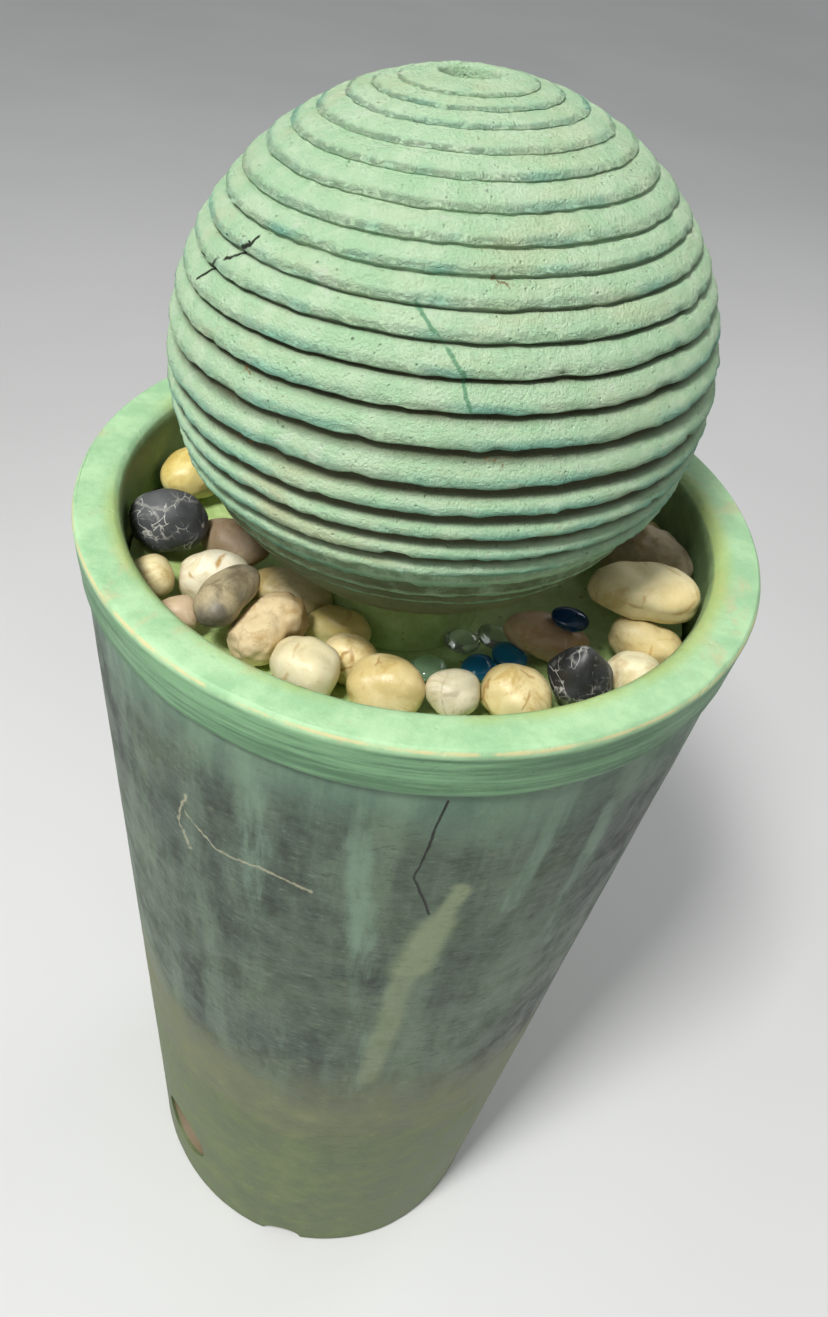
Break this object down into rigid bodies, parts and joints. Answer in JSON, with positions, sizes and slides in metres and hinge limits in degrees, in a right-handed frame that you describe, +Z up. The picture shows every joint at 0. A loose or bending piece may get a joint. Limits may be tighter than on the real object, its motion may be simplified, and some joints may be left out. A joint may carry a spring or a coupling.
{
  "type": "ball fountain",
  "caption": "Tall tapered glazed pot with a dished tray of pebbles; a ridged hollow ball on a seat overflows with water lifted by a pump in a hidden tub.",
  "frame": {"origin": "middle of the foot ring, at the floor", "axes": "+Z up, -Y towards the front, +X to the viewer's right"},
  "size_m": [0.35, 0.35, 0.834],
  "materials": {
    "green_glaze": "satin",
    "tub_plastic": "satin",
    "tray_glaze": "satin",
    "seat_glaze": "satin",
    "black_rubber": "matte",
    "mint_cast": "matte",
    "clear_hose": "gloss",
    "pump_plastic": "satin",
    "impeller_white": "satin",
    "shaft_steel": "polished",
    "cover_plastic": "satin",
    "sponge_foam": "matte",
    "dial_plastic": "satin",
    "cream_stone": "satin",
    "brown_stone": "satin",
    "tan_stone": "satin",
    "grey_stone": "satin",
    "black_stone": "satin",
    "ivory_stone": "satin",
    "clear_glass": "gloss",
    "blue_glass": "gloss",
    "pale_green_glass": "gloss",
    "deep_blue_glass": "gloss"
  },
  "bodies": {
    "base": {"pot_shell": "green_glaze", "reservoir_tub": "tub_plastic", "rock_tray": "tray_glaze", "ball_seat": "seat_glaze", "seat_gasket": "black_rubber", "riser_tube": "clear_hose", "pump_housing": "pump_plastic", "volute_cover": "pump_plastic", "impeller_shaft": "shaft_steel", "shaft_bush_rear": "black_rubber", "shaft_bush_front": "black_rubber", "pump_cord_gland": "black_rubber", "cord_stopper": "black_rubber", "suction_cup_1": "black_rubber", "suction_cup_2": "black_rubber", "suction_cup_3": "black_rubber", "suction_cup_4": "black_rubber", "outlet_adapter": "pump_plastic", "pebble_01": "cream_stone", "pebble_02": "cream_stone", "pebble_03": "brown_stone", "pebble_04": "brown_stone", "pebble_05": "cream_stone", "pebble_06": "cream_stone", "pebble_07": "tan_stone", "pebble_08": "grey_stone", "pebble_09": "tan_stone", "pebble_10": "black_stone", "pebble_11": "cream_stone", "pebble_12": "ivory_stone", "pebble_13": "cream_stone", "pebble_14": "ivory_stone", "pebble_15": "tan_stone", "pebble_16": "grey_stone", "pebble_17": "cream_stone", "pebble_18": "brown_stone", "pebble_19": "ivory_stone", "pebble_20": "grey_stone", "pebble_21": "ivory_stone", "pebble_22": "cream_stone", "pebble_23": "tan_stone", "pebble_24": "cream_stone", "pebble_25": "grey_stone", "pebble_26": "ivory_stone", "pebble_27": "tan_stone", "pebble_28": "cream_stone", "pebble_29": "grey_stone", "pebble_30": "tan_stone", "glass_gem_1": "clear_glass", "glass_gem_2": "clear_glass", "glass_gem_3": "blue_glass", "glass_gem_4": "blue_glass", "glass_gem_5": "pale_green_glass", "glass_gem_6": "deep_blue_glass"},
    "ball_collar": {"tube_collar": "black_rubber"},
    "ball": {"ridged_ball": "mint_cast"},
    "pump_cover": {"pump_front_cover": "cover_plastic", "filter_sponge": "sponge_foam"},
    "dial": {"flow_dial": "dial_plastic"},
    "rotor": {"impeller": "impeller_white"}
  },
  "joints": [
    {"name": "ball_lift", "type": "slide", "parent": "base", "child": "ball_collar", "axis": [-0.0446, 0.0416, 0.9981], "range_m": [0, 0.15]},
    {"name": "ball_turn", "type": "hinge", "parent": "ball_collar", "child": "ball", "pos_m": [-0.0022, 0, 0.71], "axis": [-0.0446, 0.0416, 0.9981], "continuous": true},
    {"name": "cover_pull", "type": "slide", "parent": "base", "child": "pump_cover", "axis": [0, -1, 0], "range_m": [0, 0.02]},
    {"name": "dial_turn", "type": "hinge", "parent": "pump_cover", "child": "dial", "pos_m": [0.01373, -0.03957, 0.487], "axis": [0, 1, 0], "range_deg": [0, 90]},
    {"name": "rotor_spin", "type": "hinge", "parent": "base", "child": "rotor", "pos_m": [0.00473, -0.00647, 0.487], "axis": [0, 1, 0], "continuous": true}
  ]
}
